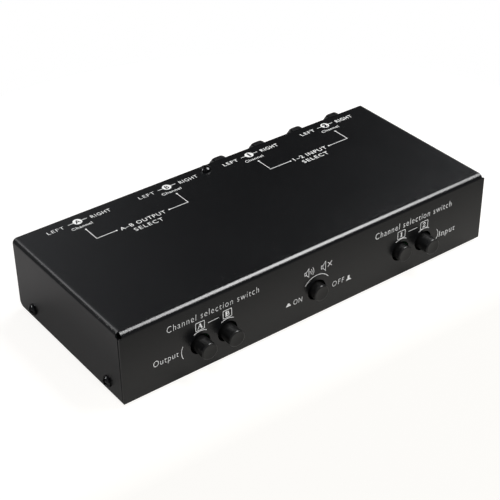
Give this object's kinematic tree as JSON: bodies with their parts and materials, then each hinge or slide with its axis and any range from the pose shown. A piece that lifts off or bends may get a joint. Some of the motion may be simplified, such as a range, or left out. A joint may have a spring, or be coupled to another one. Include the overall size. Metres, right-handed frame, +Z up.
{
  "type": "audio source selector",
  "caption": "Low black steel box with round latching push buttons along the front and round balanced sockets along the rear.",
  "frame": {"origin": "middle of the object in plan, in the plane that the feet stand on", "axes": "+X along the length, to the right seen from the front; +Y towards the rear panel; +Z up"},
  "size_m": [0.2648, 0.1272, 0.0504],
  "materials": {
    "cover_paint": "fine satin black powder coat",
    "chassis_paint": "satin black powder coat",
    "black_screw": "black zinc",
    "foot_rubber": "matt",
    "cap_plastic": "satin moulded black",
    "plunger_plastic": "natural",
    "spring_steel": "drawn wire",
    "switch_plastic": "moulded",
    "switch_laminate": "phenolic laminate",
    "board_laminate": "solder mask",
    "standoff_brass": "turned",
    "plated_steel": "zinc plated",
    "header_nylon": "natural nylon",
    "red_lead": "PVC insulation",
    "grey_lead": "PVC insulation",
    "socket_plastic": "moulded black",
    "insert_plastic": "moulded black",
    "contact_metal": "silver plated",
    "lever_metal": "black coated"
  },
  "bodies": {
    "case": {"cover": "cover_paint", "chassis": "chassis_paint", "side_screws": "black_screw", "top_screw": "black_screw", "rubber_feet": "foot_rubber", "return_spring_a": "spring_steel", "return_spring_b": "spring_steel", "return_spring_mute": "spring_steel", "return_spring_1": "spring_steel", "return_spring_2": "spring_steel", "switch_housing_a": "switch_plastic", "switch_housing_b": "switch_plastic", "switch_housing_mute": "switch_plastic", "switch_housing_1": "switch_plastic", "switch_housing_2": "switch_plastic", "switch_bases": "switch_laminate", "latch_wires": "spring_steel", "main_board": "board_laminate", "board_standoffs": "standoff_brass", "board_screws": "plated_steel", "board_headers": "header_nylon", "lead_plugs": "header_nylon", "output_leads": "red_lead", "input_leads": "grey_lead", "output_socket_a_left": "socket_plastic", "output_socket_a_right": "socket_plastic", "output_socket_b_left": "socket_plastic", "output_socket_b_right": "socket_plastic", "output_pins": "contact_metal", "input_socket_1_left": "socket_plastic", "input_socket_1_right": "socket_plastic", "input_socket_2_left": "socket_plastic", "input_socket_2_right": "socket_plastic", "input_insert_1_left": "insert_plastic", "input_insert_1_right": "insert_plastic", "input_insert_2_left": "insert_plastic", "input_insert_2_right": "insert_plastic", "input_contacts": "contact_metal", "lever_spring_1_left": "spring_steel", "lever_spring_1_right": "spring_steel", "lever_spring_2_left": "spring_steel", "lever_spring_2_right": "spring_steel", "lever_pivots": "spring_steel", "socket_screws": "black_screw", "socket_nuts": "plated_steel"},
    "button_a": {"button_a": "cap_plastic", "plunger_a": "plunger_plastic"},
    "button_b": {"button_b": "cap_plastic", "plunger_b": "plunger_plastic"},
    "button_mute": {"button_mute": "cap_plastic", "plunger_mute": "plunger_plastic"},
    "button_1": {"button_1": "cap_plastic", "plunger_1": "plunger_plastic"},
    "button_2": {"button_2": "cap_plastic", "plunger_2": "plunger_plastic"},
    "release_lever_1_left": {"release_lever_1_left": "lever_metal"},
    "release_lever_1_right": {"release_lever_1_right": "lever_metal"},
    "release_lever_2_left": {"release_lever_2_left": "lever_metal"},
    "release_lever_2_right": {"release_lever_2_right": "lever_metal"}
  },
  "joints": [
    {"name": "button_a_press", "type": "slide", "parent": "case", "child": "button_a", "axis": [0, 1, 0], "range_m": [0, 0.005], "stiffness_N_per_m": 400, "springref_m": -0.003, "deforming": ["return_spring_a"]},
    {"name": "button_b_press", "type": "slide", "parent": "case", "child": "button_b", "axis": [0, 1, 0], "range_m": [0, 0.005], "stiffness_N_per_m": 400, "springref_m": -0.003, "deforming": ["return_spring_b"]},
    {"name": "button_mute_press", "type": "slide", "parent": "case", "child": "button_mute", "axis": [0, 1, 0], "range_m": [-0.0042, 0.0008], "deforming": ["return_spring_mute"]},
    {"name": "button_1_press", "type": "slide", "parent": "case", "child": "button_1", "axis": [0, 1, 0], "range_m": [-0.0042, 0.0008], "deforming": ["return_spring_1"]},
    {"name": "button_2_press", "type": "slide", "parent": "case", "child": "button_2", "axis": [0, 1, 0], "range_m": [0, 0.005], "stiffness_N_per_m": 400, "springref_m": -0.003, "deforming": ["return_spring_2"]},
    {"name": "release_lever_1_left_swing", "type": "hinge", "parent": "case", "child": "release_lever_1_left", "pos_m": [0.01625, 0.05835, 0.0425], "axis": [-1, 0, 0], "range_deg": [0, 8], "stiffness_Nm_per_rad": 0.15, "springref_deg": -5.73, "deforming": ["lever_spring_1_left"]},
    {"name": "release_lever_1_right_swing", "type": "hinge", "parent": "case", "child": "release_lever_1_right", "pos_m": [0.04675, 0.05835, 0.0425], "axis": [-1, 0, 0], "range_deg": [0, 8], "stiffness_Nm_per_rad": 0.15, "springref_deg": -5.73, "deforming": ["lever_spring_1_right"]},
    {"name": "release_lever_2_left_swing", "type": "hinge", "parent": "case", "child": "release_lever_2_left", "pos_m": [0.07725, 0.05835, 0.0425], "axis": [-1, 0, 0], "range_deg": [0, 8], "stiffness_Nm_per_rad": 0.15, "springref_deg": -5.73, "deforming": ["lever_spring_2_left"]},
    {"name": "release_lever_2_right_swing", "type": "hinge", "parent": "case", "child": "release_lever_2_right", "pos_m": [0.10775, 0.05835, 0.0425], "axis": [-1, 0, 0], "range_deg": [0, 8], "stiffness_Nm_per_rad": 0.15, "springref_deg": -5.73, "deforming": ["lever_spring_2_right"]}
  ]
}
